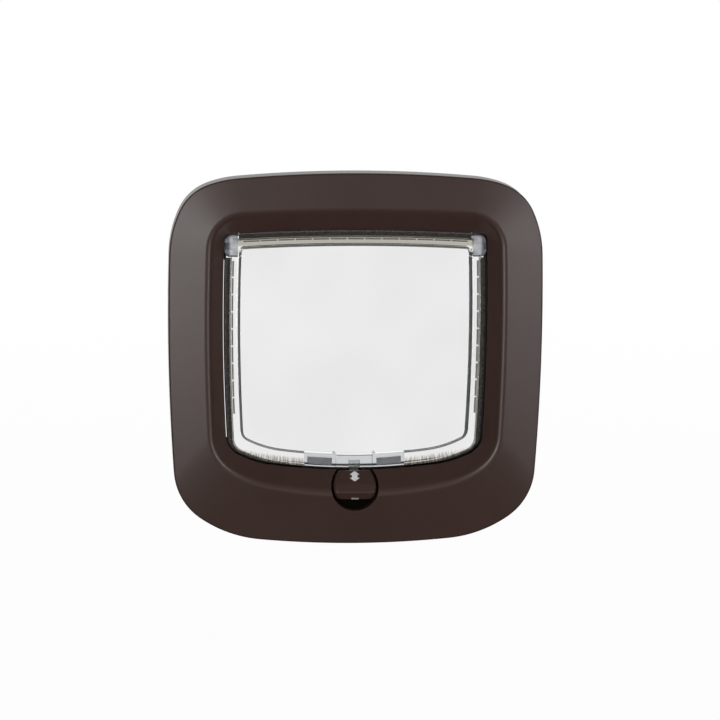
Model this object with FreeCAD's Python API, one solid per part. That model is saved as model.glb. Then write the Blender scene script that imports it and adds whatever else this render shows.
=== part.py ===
"""Manual cat flap for a door: two moulded frames, a clear flap on two pins and a sliding latch.

Millimetres, +Z up.  The room is towards -Y and the garden towards +Y, so the indoor face looks along -Y.
The origin is the centre of the four-screw pattern, on the plane where the interior frame seats on the door.
"""
import FreeCAD, Part
import math
import os

Vec = FreeCAD.Vector
ALONG_X = Vec(1, 0, 0)
ALONG_Y = Vec(0, 1, 0)
over = 1.0                  # how far a cutting solid passes the surface that it opens
root = 0.5                  # how deep one moulded feature starts inside another
round_share = 0.3           # where the middle of a rounded edge lies, as a share of its radius

# Interior frame
frame_width = 235.0
frame_height = 235.0
side_border = 34.35         # from the outline to the opening
top_border = 36.0
bottom_border = 46.3
side_depth = 17.0           # door to the outer edge of the front face
face_rise = 3.0             # the front face leans forward by this much up to the recess
frame_wall = 2.5
face_edge_round = 1.2
ridge_back_out = 1.0        # inner corner of the moulding behind the ridge: outside the ridge
ridge_back_drop = 3.0       # and behind it
frame_corner_radii = (72.0, 31.5, 69.0, 39.0, 78.5)
frame_headings = (0.0, 5.0, 20.0, 65.0, 88.5, 94.0, 145.0, 174.5, 180.0)

# Opening and tunnel
opening_width = frame_width - 2 * side_border
opening_corner_radii = (4.6, 4.2, 4.2, 14.0, 66.0)
opening_headings = (0.0, 3.2, 30.0, 60.0, 88.0, 93.2, 153.0, 172.5, 180.0)
tunnel_wall = 2.2
tunnel_reach = 4.0          # how far the tunnel passes the door's outdoor face

# Recess around the opening
recess_depth = 9.5
recess_flare_side = 9.0
recess_flare_top = 12.2
recess_flare_bottom = 13.6
recess_corner_radii = (24.0, 22.0, 22.0, 28.0, 62.0)
recess_headings = (0.0, 3.0, 30.0, 60.0, 88.1, 93.0, 147.5, 167.8, 180.0)
recess_round = 7.0
recess_round_steps = 4

# Flap
flap_side_gap = 4.1
flap_top_gap = 4.1
flap_bottom_gap = 1.1
flap_depth = 8.5
flap_setback = 0.5          # flap front behind the opening's front edge
rim_side = 6.7
rim_top = 6.6
rim_bottom = 8.4
pane_thickness = 2.0
window_draft = 1.5
rim_corner_radii = (5.0, 4.5, 4.5, 9.0, 78.0)
window_corner_radii = (2.6, 2.2, 2.2, 6.0, 66.0)
hinge_drop = 6.9            # hinge axis below the rim's top edge

# Ribbed groove in the front of the rim
groove_start = 1.2
groove_width = 1.4
groove_depth = 1.0
rib_pitch = 10.9
rib_thickness = 1.0
groove_side_end = 35.0      # lowest side cell above the flap's bottom edge

# Pile seal
seal_channel_width = 5.0
seal_channel_depth = 1.0
seal_backing = 0.6
pile_width = 3.6
pile_reach = 0.42           # share of the gap to the tunnel that the pile fills
fin_reach = 0.52
fin_thickness = 0.4
seal_end_gap = 0.4

# Hinges
hinge_cap_radius = 6.8
hinge_cap_width = 8.3
hinge_cap_side_gap = 0.3
hinge_cap_round = 1.6
hinge_pin_radius = 1.5
hinge_running_gap = 0.05
hinge_boss_radius = 4.5
hinge_boss_length = 5.5
spigot_radius = 3.5
spigot_length = 3.0
spigot_root = 2.1
pin_in_cap = 3.9

# Magnets and their holder in the flap's bottom edge
holder_width = 63.2
holder_middle = 23.2
holder_shoulder = 0.4       # how far the holder's ends stand above the rim's inner edge
holder_end_wall = 1.8       # clear plastic beyond the magnets
holder_inner_wall = 2.8     # between the magnets and the middle
stud_radius = 1.0           # round stud at the inner end of each magnet pod
magnet_length = (holder_width - holder_middle) / 2 - holder_end_wall - holder_inner_wall
magnet_offset = holder_middle / 2 + holder_inner_wall + magnet_length / 2
magnet_height = 4.6
magnet_thickness = 5.0
magnet_tilt = 4.2
magnet_floor = 1.3          # clear plastic under the flap's magnets
magnet_fit = 0.05
cradle_wall = 1.0

# Catch notch
notch_width = 8.8
notch_height = 7.0
notch_depth = 4.6

# Latch
latch_drop = 9.8            # centre of the round pocket below the sill
pocket_radius = 15.0
pocket_wall = 2.2
knob_radius = 13.6
knob_top_gap = 0.4
knob_floor_gap = 0.3
knob_height = 17.2
knob_ridge_rise = 9.9       # ridge in front of the pocket's floor
knob_top_thickness = 1.9
knob_ridge_drop = 12.7
knob_break_drop = 7.4
knob_break_rise = 7.4
knob_foot_rise = 7.9
knob_round = 1.4
knob_edge_round = 0.8
knob_break_round = 3.0
scoop_radius = 7.0
scoop_rise = 3.2            # axis of the finger scoop in front of the pocket's floor
scoop_drop = 4.2            # and below the knob's foot
latch_travel = 5.0
undercut_steps = 5
tongue_width = 5.8
tongue_thickness = 3.0
slide_gap = 0.3
web_height = 4.2
foot_height = 8.0
tail_height = 16.5

# Latch keeper and its spring
keeper_width = 26.0
keeper_height = 12.0
keeper_thickness = 1.6
keeper_gap = 1.3
keeper_bite = 3.0
keeper_boss_radius = 2.2
keeper_screw_edge = 2.4     # from the keeper's end to the screw
keeper_screw_offset = keeper_width / 2 - keeper_screw_edge
foot_side_gap = 0.6         # slider's foot to the keeper's bosses
foot_width = 2 * (keeper_screw_offset - keeper_boss_radius - foot_side_gap)
keeper_screw_radius = 1.0
keeper_head_radius = 2.0
keeper_head_height = 1.0
thread_gap = 0.05
spring_span = 11.0
spring_width = 4.0
spring_thickness = 0.3
spring_rise = 1.1

# Door and exterior frame
door_thickness = 6.0
exterior_inset = 2.0
exterior_depth = 10.0
exterior_crown = 2.0
exterior_draft = 1.0
exterior_round = 2.5
exterior_shoulder = 0.25    # share of the way from the recess outline to the opening
exterior_shoulder_drop = 0.5
collar_gap = 0.3
collar_wall = 2.2

# Frame screws
screw_inset_z = 45.5        # from the top and bottom of the frame
screw_radius = 1.75
screw_head_radius = 3.6
screw_head_height = 2.2
screw_bite = 11.0
screw_boss_radius = 4.6
head_pocket_radius = 4.3
head_pocket_depth = 4.0
head_pocket_wall = 1.3
rib_web = 1.5
rib_setback = 0.8
rib_heights = (-38.0, 0.0, 38.0)

# Depths that follow from the sizes above
face_y = -side_depth
ridge_y = face_y - face_rise
opening_y = ridge_y + recess_depth
tunnel_end_y = door_thickness + tunnel_reach
flap_front_y = opening_y + flap_setback
flap_rear_y = flap_front_y + flap_depth
hinge_y = (flap_front_y + flap_rear_y) / 2

# Heights that follow from the sizes above
opening_top = frame_height / 2 - top_border
sill_z = bottom_border - frame_height / 2
rim_top_z = opening_top - flap_top_gap
rim_bottom_z = sill_z + flap_bottom_gap
hinge_z = rim_top_z - hinge_drop
latch_z = sill_z - latch_drop


class Outline:
    """Closed outline of tangent arcs, the same on both sides of x = 0, in a plane across Y.

    The heading turns from 0 degrees at the top centre to 180 at the bottom centre.  The corner radii are given.
    The long top, side and bottom radii are solved so that the outline has its width and height.
    """

    def __init__(self, width, top, bottom, headings, corner_radii):
        self.width = width
        self.top = top
        self.bottom = bottom
        self.headings = headings
        self.corner_radii = corner_radii
        angles = [math.radians(h) for h in headings]
        self.normals = [Vec(math.sin(a), 0, math.cos(a)) for a in angles]
        self.middles = [(a + b) / 2 for a, b in zip(angles, angles[1:])]
        self.radii = self.solve_radii()
        self.centres = []
        point = Vec(0, 0, top)
        for radius, start, end in zip(self.radii, self.normals, self.normals[1:]):
            centre = point - start * radius
            self.centres.append(centre)
            point = centre + end * radius

    def solve_radii(self):
        n = self.normals
        r1, r2, r3, r5, r6 = self.corner_radii
        upper = r1 * (n[2] - n[1]) + r2 * (n[3] - n[2]) + r3 * (n[4] - n[3])
        lower = r5 * (n[6] - n[5]) + r6 * (n[7] - n[6])
        widest = Vec(1, 0, 0)
        top_arc = n[1] - n[0]
        side_upper = widest - n[4]
        side_lower = n[5] - widest
        bottom_arc = n[8] - n[7]
        rows = FreeCAD.Matrix(
            top_arc.x, side_upper.x, 0, 0,
            0, side_lower.x, bottom_arc.x, 0,
            top_arc.z, side_upper.z + side_lower.z, bottom_arc.z, 0,
            0, 0, 0, 1)
        sums = Vec(self.width / 2 - upper.x,
                   -self.width / 2 - lower.x,
                   self.bottom - self.top - upper.z - lower.z)
        long_top, long_side, long_bottom = rows.inverse() * sums
        return (long_top, r1, r2, r3, long_side, r5, r6, long_bottom)

    def wire(self, inset, y):
        """The outline moved inwards by inset, at depth y."""
        at = [c + n * (r - inset) for c, r, n in zip(self.centres, self.radii, self.normals)]
        at.append(self.centres[-1] + self.normals[-1] * (self.radii[-1] - inset))
        via = [c + Vec(math.sin(a), 0, math.cos(a)) * (r - inset)
               for c, r, a in zip(self.centres, self.radii, self.middles)]

        def mirrored(p):
            return Vec(-p.x, p.y, p.z)

        stops = [(mirrored(at[1]), at[0], at[1])]
        stops += [(at[i], via[i], at[i + 1]) for i in range(1, 7)]
        stops += [(at[7], at[8], mirrored(at[7]))]
        stops += [(mirrored(at[i + 1]), mirrored(via[i]), mirrored(at[i])) for i in range(6, 0, -1)]
        depth = Vec(0, y, 0)
        return Part.Wire([Part.Arc(a + depth, b + depth, c + depth).toShape() for a, b, c in stops])

    def reach(self, z):
        """Half the outline's width at height z."""
        for i, (centre, radius) in enumerate(zip(self.centres, self.radii)):
            if z >= (centre + self.normals[i + 1] * radius).z:
                break
        return centre.x + math.sqrt(radius ** 2 - (z - centre.z) ** 2)

    def floor(self, x):
        """Height of the outline's long bottom arc at x."""
        centre = self.centres[-1]
        return centre.z - math.sqrt(self.radii[-1] ** 2 - x ** 2)


def between(a, b, share):
    """Outline part of the way from a to b."""
    def mix(p, q):
        return p + (q - p) * share

    return Outline(mix(a.width, b.width), mix(a.top, b.top), mix(a.bottom, b.bottom),
                   [mix(p, q) for p, q in zip(a.headings, b.headings)],
                   [mix(p, q) for p, q in zip(a.corner_radii, b.corner_radii)])


frame_outline = Outline(frame_width, frame_height / 2, -frame_height / 2, frame_headings, frame_corner_radii)
opening = Outline(opening_width, opening_top, sill_z, opening_headings, opening_corner_radii)
recess = Outline(opening_width + 2 * recess_flare_side, opening_top + recess_flare_top,
                 sill_z - recess_flare_bottom, recess_headings, recess_corner_radii)
rim = Outline(opening_width - 2 * flap_side_gap, rim_top_z, rim_bottom_z, opening_headings, rim_corner_radii)
window = Outline(rim.width - 2 * rim_side, rim_top_z - rim_top, rim_bottom_z + rim_bottom,
                 opening_headings, window_corner_radii)


def box(x0, x1, y0, y1, z0, z1):
    return Part.makeBox(x1 - x0, y1 - y0, z1 - z0, Vec(x0, y0, z0))


def rod_y(radius, x, z, y0, y1):
    return Part.makeCylinder(radius, y1 - y0, Vec(x, y0, z), ALONG_Y)


def rod_x(radius, x0, x1):
    """Cylinder on the hinge axis."""
    return Part.makeCylinder(radius, x1 - x0, Vec(x0, hinge_y, hinge_z), ALONG_X)


def mirrored(shape):
    return shape.mirror(Vec(0, 0, 0), ALONG_X)


def pair(shape):
    """A shape and its mirror image on the other side of x = 0."""
    return [shape, mirrored(shape)]


def slab(outline, inset, y0, y1):
    """Plate with the outline's form between two depths."""
    return Part.Face(outline.wire(inset, y0)).extrude(Vec(0, y1 - y0, 0))


def band(outer, outer_inset, inner, inner_inset, y0, y1):
    """Flat ring between two outlines."""
    return slab(outer, outer_inset, y0, y1).cut(slab(inner, inner_inset, y0, y1))


def ring(stations):
    """Moulding whose closed section passes through the stations: an outline, its inset and its depth."""
    wires = [outline.wire(inset, y) for outline, inset, y in stations]
    faces = []
    for k, wire in enumerate(wires):
        after = (k + 1) % len(wires)
        if stations[k][2] == stations[after][2]:
            faces.append(Part.makeFace([wire, wires[after]], "Part::FaceMakerCheese"))
        else:
            faces += [Part.makeRuledSurface(p, q) for p, q in zip(wire.Edges, wires[after].Edges)]
    shell = Part.makeShell(faces)
    shell.sewShape()
    solid = Part.makeSolid(shell)
    if solid.Volume < 0:
        solid.reverse()
    return solid


def section_yz(points, rounds, x0, x1):
    """Bar along X whose section has the given (y, z) corners, each rounded by its own radius."""
    corners = [Vec(x0, y, z) for y, z in points]
    edges = []
    starts = []
    ends = []
    for i, (corner, radius) in enumerate(zip(corners, rounds)):
        back = (corners[i - 1] - corner).normalize()
        ahead = (corners[(i + 1) % len(corners)] - corner).normalize()
        half = back.getAngle(ahead) / 2
        trim = radius / math.tan(half)
        start = corner + back * trim
        end = corner + ahead * trim
        starts.append(start)
        ends.append(end)
        if radius:
            centre = corner + (back + ahead).normalize() * (radius / math.sin(half))
            middle = centre + (corner - centre).normalize() * radius
            edges.append(Part.Arc(start, middle, end).toShape())
    for i in range(len(corners)):
        edges.append(Part.LineSegment(ends[i], starts[(i + 1) % len(corners)]).toShape())
    face = Part.Face(Part.Wire(Part.sortEdges(edges)[0]))
    return face.extrude(Vec(x1 - x0, 0, 0))


def recess_edge_stations():
    """Rounded ridge where the front face turns down into the recess."""
    flare = (recess_flare_side + recess_flare_top) / 2
    face_run = (frame_width - recess.width) / 2
    face_lean = math.atan2(face_rise, face_run)
    slope_lean = math.atan2(recess_depth, flare)
    turn = face_lean + slope_lean
    tangent = recess_round * math.tan(turn / 2)
    start_out = tangent * math.cos(face_lean)
    start_y = ridge_y + tangent * math.sin(face_lean)
    centre_out = start_out - recess_round * math.sin(face_lean)
    centre_y = start_y + recess_round * math.cos(face_lean)
    stations = []
    for k in range(recess_round_steps + 1):
        angle = face_lean - turn * k / recess_round_steps
        out = centre_out + recess_round * math.sin(angle)
        y = centre_y - recess_round * math.cos(angle)
        if out >= 0:
            stations.append((recess, -out, y))
        else:
            stations.append((between(recess, opening, -out / flare), 0, y))
    return stations


def frame_core():
    """Ring from the middle of the interior frame's skin, which trims what is moulded behind the face."""
    inner = frame_wall / 2
    return ring([
        (frame_outline, inner, -rib_setback),
        (frame_outline, inner, face_y + inner),
        (recess, -frame_wall * 3 / 4, ridge_y + frame_wall * 3 / 4),
        (opening, -tunnel_wall / 2, opening_y + inner),
        (opening, -tunnel_wall / 2, -rib_setback),
    ])


def screw_places():
    x = (opening_width / 2 + tunnel_wall + frame_width / 2 - frame_wall) / 2
    z = frame_height / 2 - screw_inset_z
    return [(sx * x, sz * z) for sx in (-1, 1) for sz in (-1, 1)]


def make_frame_moulding():
    """Indoor moulding with its pocket, slots and bosses, before the latch housing is parted from it."""
    skin = ring([
        (frame_outline, 0, 0),
        (frame_outline, 0, face_y + face_edge_round),
        (frame_outline, face_edge_round * round_share, face_y + face_edge_round * round_share),
        (frame_outline, face_edge_round, face_y),
        *recess_edge_stations(),
        (opening, 0, opening_y),
        (opening, 0, 0),
        (opening, -tunnel_wall, 0),
        (opening, -tunnel_wall, opening_y + frame_wall),
        (recess, -ridge_back_out, ridge_y + ridge_back_drop),
        (frame_outline, frame_wall, face_y + frame_wall),
        (frame_outline, frame_wall, 0),
    ])
    core = frame_core()
    bosses = [rod_y(screw_boss_radius, x, z, ridge_y, -rib_setback) for x, z in screw_places()]
    webs = [box(x0, x1, ridge_y, -rib_setback, z - rib_web / 2, z + rib_web / 2)
            for z in rib_heights for x0, x1 in ((-frame_width / 2, 0), (0, frame_width / 2))]
    cup = rod_y(pocket_radius + pocket_wall, 0, latch_z, ridge_y, flap_front_y + pocket_wall)
    inside = core.common(Part.makeCompound(bosses + webs + [cup]))

    hinge_start = opening.reach(hinge_z) + tunnel_wall / 2
    hinge_bosses = pair(rod_x(hinge_boss_radius, hinge_start, hinge_start + hinge_boss_length))
    keeper_bosses = [rod_y(keeper_boss_radius, sx * keeper_screw_offset, keeper_z,
                           flap_front_y + pocket_wall / 2, keeper_front_y) for sx in (-1, 1)]
    cradles = pair(box(cradle_x - cradle_wall, cradle_x + magnet_length + cradle_wall,
                       cradle_front_y - cradle_wall, cradle_front_y + magnet_thickness,
                       cradle_bottom_z, sill_z - tunnel_wall / 2))
    cradles = [c.cut(slab(opening, -tunnel_wall / 2, ridge_y, tunnel_end_y)) for c in cradles]
    body = skin.fuse([inside] + hinge_bosses + keeper_bosses + cradles)

    pocket = rod_y(pocket_radius, 0, latch_z, ridge_y - over, flap_front_y)
    half_slot = tongue_width / 2 + slide_gap
    web_slot = box(-half_slot, half_slot, flap_front_y - over, tongue_rear_y + slide_gap,
                   web_top_z - web_height - slide_gap, sill_z + over)
    pilots = [rod_y(screw_radius + thread_gap, x, z, -screw_bite - over, over) for x, z in screw_places()]
    keeper_pilots = [rod_y(keeper_screw_radius + thread_gap, sx * keeper_screw_offset, keeper_z,
                           keeper_front_y - keeper_bite - thread_gap, keeper_front_y + over)
                     for sx in (-1, 1)]
    pin_holes = pair(rod_x(hinge_pin_radius, opening.reach(hinge_z) - over,
                           hinge_start + hinge_boss_length + over))
    magnet_pockets = pair(box(cradle_x - magnet_fit, cradle_x + magnet_length + magnet_fit,
                              cradle_front_y - magnet_fit, cradle_front_y + magnet_thickness + over,
                              frame_magnet_top - magnet_height - magnet_fit, frame_magnet_top + magnet_fit))
    return body.cut([pocket, web_slot] + pilots + keeper_pilots + pin_holes + magnet_pockets)


def housing_zone():
    """Round cup behind the knob, the bosses on its back and the piece of sill above it."""
    cup_radius = pocket_radius + pocket_wall
    cup_rear_y = flap_front_y + pocket_wall
    cup = rod_y(cup_radius, 0, latch_z, ridge_y - over, cup_rear_y)
    half = cradle_x - cradle_wall - slide_gap
    sill_piece = box(-half, half, ridge_y - over, 0, latch_z, hinge_z)
    behind = box(-half, half, cup_rear_y, 0, latch_z - cup_radius, latch_z)
    return cup.fuse([sill_piece, behind])


def make_cutout_liner():
    """Sleeve that lines the hole in the door, from the interior frame to inside the exterior one."""
    return band(opening, -tunnel_wall, opening, 0, 0, tunnel_end_y)


def make_exterior_frame():
    seat_y = door_thickness
    side_y = seat_y + exterior_depth
    face_top_y = side_y + exterior_crown
    collar = -(tunnel_wall + collar_gap)
    wall = frame_wall
    skin = ring([
        (frame_outline, exterior_inset, seat_y),
        (frame_outline, exterior_inset + exterior_draft, side_y - exterior_round),
        (frame_outline, exterior_inset + exterior_draft + exterior_round * round_share,
         side_y - exterior_round * round_share),
        (frame_outline, exterior_inset + exterior_draft + exterior_round, side_y),
        (recess, 0, face_top_y),
        (between(recess, opening, exterior_shoulder), 0, face_top_y - exterior_shoulder_drop),
        (opening, 0, tunnel_end_y + collar_gap + wall),
        (opening, 0, tunnel_end_y + collar_gap),
        (opening, collar, tunnel_end_y + collar_gap),
        (opening, collar, seat_y),
        (opening, collar - collar_wall, seat_y),
        (opening, collar - collar_wall, tunnel_end_y + wall),
        (recess, -wall, face_top_y - wall),
        (frame_outline, exterior_inset + exterior_draft + wall, side_y - wall),
        (frame_outline, exterior_inset + wall, seat_y),
    ])
    half_wall = wall / 2
    core = ring([
        (frame_outline, exterior_inset + exterior_draft + half_wall, seat_y + rib_setback),
        (frame_outline, exterior_inset + exterior_draft + half_wall, side_y - half_wall - exterior_round / 2),
        (recess, -half_wall, face_top_y - half_wall),
        (opening, collar - collar_wall / 2, tunnel_end_y + half_wall + collar_gap),
        (opening, collar - collar_wall / 2, seat_y + rib_setback),
    ])
    bosses = [rod_y(head_pocket_radius + head_pocket_wall, x, z, seat_y, face_top_y)
              for x, z in screw_places()]
    body = skin.fuse(core.common(Part.makeCompound(bosses)))
    holes = [rod_y(screw_radius + thread_gap, x, z, seat_y - over, face_top_y) for x, z in screw_places()]
    pockets = [rod_y(head_pocket_radius, x, z, head_seat_y, face_top_y + over) for x, z in screw_places()]
    return body.cut(holes + pockets)


def make_frame_screws():
    screws = []
    for x, z in screw_places():
        shank = rod_y(screw_radius, x, z, -screw_bite, head_seat_y)
        head = rod_y(screw_head_radius, x, z, head_seat_y, head_seat_y + screw_head_height)
        screws.append(shank.fuse(head).removeSplitter())
    return Part.makeCompound(screws)


def groove_cells():
    """Boxes between the ribs of the rim's front groove, along the top and down both sides."""
    gap = rib_pitch - rib_thickness
    cells = []
    count = int(cap_inner_x / rib_pitch - 0.5)
    for k in range(-count, count + 1):
        x = k * rib_pitch
        cells.append(box(x - gap / 2, x + gap / 2, flap_front_y, flap_front_y + groove_depth,
                         rim_top_z - rim_top, rim_top_z))
    top_cell_z = hinge_z - hinge_cap_radius - rib_pitch
    side_run = hinge_z - hinge_cap_radius - rim_bottom_z - groove_side_end
    for k in range(int(side_run / rib_pitch)):
        z = top_cell_z - k * rib_pitch
        cells += pair(box(rim.width / 2 - rim_side, rim.width / 2, flap_front_y,
                          flap_front_y + groove_depth, z, z + gap))
    return Part.makeCompound(cells)


def make_holder_block():
    """Clear block that takes the place of the rim's bottom middle."""
    block = slab(rim, 0, flap_front_y, flap_rear_y).common(
        box(-holder_width / 2, holder_width / 2, flap_front_y, flap_rear_y, sill_z, 0))
    middle = box(-holder_middle / 2, holder_middle / 2, flap_front_y, flap_rear_y, sill_z, 0)
    ends_hollow = slab(window, holder_shoulder, flap_front_y, flap_rear_y)
    middle_hollow = slab(window, 0, flap_front_y, flap_rear_y).common(middle)
    studs = [rod_y(stud_radius, sx * (holder_middle / 2 + stud_radius), window.floor(holder_middle / 2),
                   flap_front_y, flap_rear_y) for sx in (-1, 1)]
    return block.cut([ends_hollow, middle_hollow]).fuse(studs)


def flap_magnet(side):
    """Bar magnet in the holder, tilted to follow the flap's bottom edge."""
    bottom = rim.floor(magnet_offset) + magnet_floor
    bar = box(-magnet_length / 2, magnet_length / 2, hinge_y - magnet_thickness / 2,
              hinge_y + magnet_thickness / 2, 0, magnet_height)
    bar.rotate(Vec(0, 0, 0), ALONG_Y, -side * magnet_tilt)
    bar.translate(Vec(side * magnet_offset, 0, bottom))
    return bar


def magnet_opening(side):
    """Pocket for a flap magnet, open at the flap's garden side."""
    bottom = rim.floor(magnet_offset) + magnet_floor
    gap = magnet_fit
    bar = box(-magnet_length / 2 - gap, magnet_length / 2 + gap, hinge_y - magnet_thickness / 2 - gap,
              flap_rear_y + over, -gap, magnet_height + gap)
    bar.rotate(Vec(0, 0, 0), ALONG_Y, -side * magnet_tilt)
    bar.translate(Vec(side * magnet_offset, 0, bottom))
    return bar


def make_catch_block():
    """Middle of the holder, with the notch that the latch's tongue enters from below."""
    half = holder_middle / 2
    notch = box(-notch_width / 2, notch_width / 2, hinge_y - notch_depth / 2, hinge_y + notch_depth / 2,
                sill_z, rim_bottom_z + notch_height)
    middle = box(-half, half, flap_front_y, flap_rear_y, sill_z, opening_top)
    return make_holder_block().common(middle).cut(notch)


def make_magnet_pod():
    """Right-hand end of the holder, around its magnet."""
    end = box(holder_middle / 2, holder_width, flap_front_y, flap_rear_y, sill_z, opening_top)
    return make_holder_block().common(end).cut(magnet_opening(1))


def make_flap_pane():
    return slab(window, 0, pane_front_y, pane_rear_y).cut(make_holder_block())


def make_flap_rim():
    body = slab(rim, 0, flap_front_y, flap_rear_y)
    front_hollow = Part.makeLoft([window.wire(-window_draft, flap_front_y), window.wire(0, pane_front_y)],
                                 True, True)
    rear_hollow = Part.makeLoft([window.wire(0, pane_rear_y), window.wire(-window_draft, flap_rear_y)],
                                True, True)
    pane_zone = slab(window, 0, pane_front_y, pane_rear_y)
    channel = band(rim, -over, rim, seal_channel_depth, hinge_y - seal_channel_width / 2,
                   hinge_y + seal_channel_width / 2)
    groove = band(rim, groove_start, rim, groove_start + groove_width, flap_front_y,
                  flap_front_y + groove_depth)
    cells = groove.common(groove_cells())
    cap_seats = pair(rod_x(hinge_cap_radius, cap_inner_x, opening_width))
    cap_seats += pair(box(cap_inner_x, opening_width, flap_front_y - over, flap_rear_y + over,
                          hinge_z, opening_top))
    body = body.cut([front_hollow, pane_zone, rear_hollow, channel, cells, make_holder_block()] + cap_seats)
    spigots = pair(rod_x(spigot_radius, cap_inner_x - spigot_root, cap_inner_x + spigot_length))
    return body.fuse(spigots)


def make_hinge_cap():
    body = rod_x(hinge_cap_radius, cap_inner_x, cap_outer_x)
    outer_edges = [e for e in body.Edges if e.BoundBox.XMin > (cap_inner_x + cap_outer_x) / 2]
    body = body.makeFillet(hinge_cap_round, outer_edges)
    socket = rod_x(spigot_radius, cap_inner_x - over, cap_inner_x + spigot_length)
    bore = rod_x(hinge_pin_radius + hinge_running_gap, cap_inner_x, cap_outer_x + over)
    return body.cut([socket, bore])


def make_hinge_pin():
    outer_end = opening.reach(hinge_z) + tunnel_wall / 2 + hinge_boss_length
    return rod_x(hinge_pin_radius, cap_outer_x - pin_in_cap, outer_end)


def seal_section():
    """Backing, pile and fin of the seal, all the way round the rim."""
    channel_floor = seal_channel_depth
    half_channel = seal_channel_width / 2
    pile_edge = between(rim, opening, pile_reach)
    fin_edge = between(rim, opening, fin_reach)
    backing = band(rim, channel_floor - seal_backing, rim, channel_floor, hinge_y - half_channel,
                   hinge_y + half_channel)
    pile = band(pile_edge, 0, rim, channel_floor - seal_backing / 2, hinge_y - pile_width / 2,
                hinge_y + pile_width / 2)
    fin = band(fin_edge, 0, rim, channel_floor - seal_backing / 2, hinge_y - fin_thickness / 2,
               hinge_y + fin_thickness / 2)
    return backing.fuse([pile, fin])


def make_brush_top():
    half = cap_inner_x - seal_end_gap
    return seal_section().common(box(-half, half, flap_front_y, flap_rear_y,
                                     hinge_z + hinge_cap_radius / 2, opening_top))


def make_brush_side():
    """Right-hand seal, from under the hinge cap round the lower corner to the magnet holder."""
    return seal_section().common(box(holder_width / 2 + seal_end_gap, opening_width, flap_front_y,
                                     flap_rear_y, sill_z, hinge_z - hinge_cap_radius - seal_end_gap))


def knob_undercut(lift, next_lift):
    """What the knob's back loses so that its sides pass over the recess slope between two heights."""
    lean = recess_depth / recess_flare_bottom
    high_z = sill_z + over
    low_z = latch_z - latch_travel
    rear_y = opening_y + recess_depth

    def slope_y(z):
        return opening_y - lean * (sill_z - z) + lean * lift - slide_gap

    corners = [(slope_y(high_z), high_z), (slope_y(low_z), low_z), (rear_y, low_z), (rear_y, high_z)]
    behind = section_yz(corners, [0, 0, 0, 0], -pocket_radius, pocket_radius)
    kept = rod_y(pocket_radius - slide_gap, 0, latch_z - next_lift, ridge_y - recess_depth, rear_y)
    return behind.cut(kept)


def make_latch_slider():
    floor_y = flap_front_y - knob_floor_gap
    ridge = floor_y - knob_ridge_rise
    foot_z = knob_top_z - knob_height
    knob = section_yz(
        [(floor_y, knob_top_z),
         (floor_y - knob_top_thickness, knob_top_z),
         (floor_y - knob_break_rise, knob_top_z - knob_break_drop),
         (ridge, knob_top_z - knob_ridge_drop),
         (floor_y - knob_foot_rise, foot_z),
         (floor_y, foot_z)],
        [0, knob_edge_round, knob_break_round, knob_round, knob_edge_round, 0],
        -knob_radius, knob_radius)
    knob = knob.common(rod_y(knob_radius, 0, latch_z, ridge - over, floor_y + over))
    scoop = Part.makeCylinder(scoop_radius, 2 * knob_radius,
                              Vec(-knob_radius, floor_y - scoop_rise, foot_z - scoop_drop), ALONG_X)
    undercuts = [knob_undercut(latch_travel * k / undercut_steps, latch_travel * (k + 1) / undercut_steps)
                 for k in range(undercut_steps)]
    knob = knob.cut([scoop] + undercuts)

    half = tongue_width / 2
    web = box(-half, half, floor_y - root, tongue_front_y + root, web_top_z - web_height, web_top_z)
    tail = box(-half, half, tongue_front_y, tongue_rear_y, knob_top_z - tail_height, knob_top_z)
    foot = box(-foot_width / 2, foot_width / 2, tongue_front_y, tongue_rear_y,
               knob_top_z - tail_height, knob_top_z - tail_height + foot_height)
    return knob.fuse([web, tail, foot]).removeSplitter()


def make_latch_keeper():
    rear_y = keeper_front_y + keeper_thickness
    plate = box(-keeper_width / 2, keeper_width / 2, keeper_front_y, rear_y,
                keeper_z - keeper_height / 2, keeper_z + keeper_height / 2)
    corners = [e for e in plate.Edges if e.BoundBox.YLength > keeper_thickness / 2]
    plate = plate.makeFillet(keeper_boss_radius, corners)
    holes = [rod_y(keeper_screw_radius + thread_gap, sx * keeper_screw_offset, keeper_z,
                   keeper_front_y - over, rear_y + over) for sx in (-1, 1)]
    return plate.cut(holes)


def make_keeper_screws():
    seat = keeper_front_y + keeper_thickness
    screws = []
    for sx in (-1, 1):
        x = sx * keeper_screw_offset
        shank = rod_y(keeper_screw_radius, x, keeper_z, keeper_front_y - keeper_bite, seat)
        head = rod_y(keeper_head_radius, x, keeper_z, seat, seat + keeper_head_height)
        screws.append(shank.fuse(head).removeSplitter())
    return Part.makeCompound(screws)


def make_latch_spring():
    """Bowed leaf between the keeper and the slider's tail."""
    half_span = spring_span / 2

    def arc(rise, half):
        return Part.Arc(Vec(-spring_width / 2, keeper_front_y, keeper_z - half),
                        Vec(-spring_width / 2, keeper_front_y - rise, keeper_z),
                        Vec(-spring_width / 2, keeper_front_y, keeper_z + half)).toShape()

    outer = arc(spring_rise, half_span)
    inner = arc(spring_rise - spring_thickness, half_span - 2 * spring_thickness)
    ends = [Part.LineSegment(outer.Vertexes[i].Point, inner.Vertexes[i].Point).toShape() for i in (0, 1)]
    face = Part.Face(Part.Wire(Part.sortEdges([outer, inner] + ends)[0]))
    return face.extrude(Vec(spring_width, 0, 0))


def make_frame_magnet():
    return box(cradle_x, cradle_x + magnet_length, cradle_front_y, cradle_front_y + magnet_thickness,
               frame_magnet_top - magnet_height, frame_magnet_top)


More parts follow.
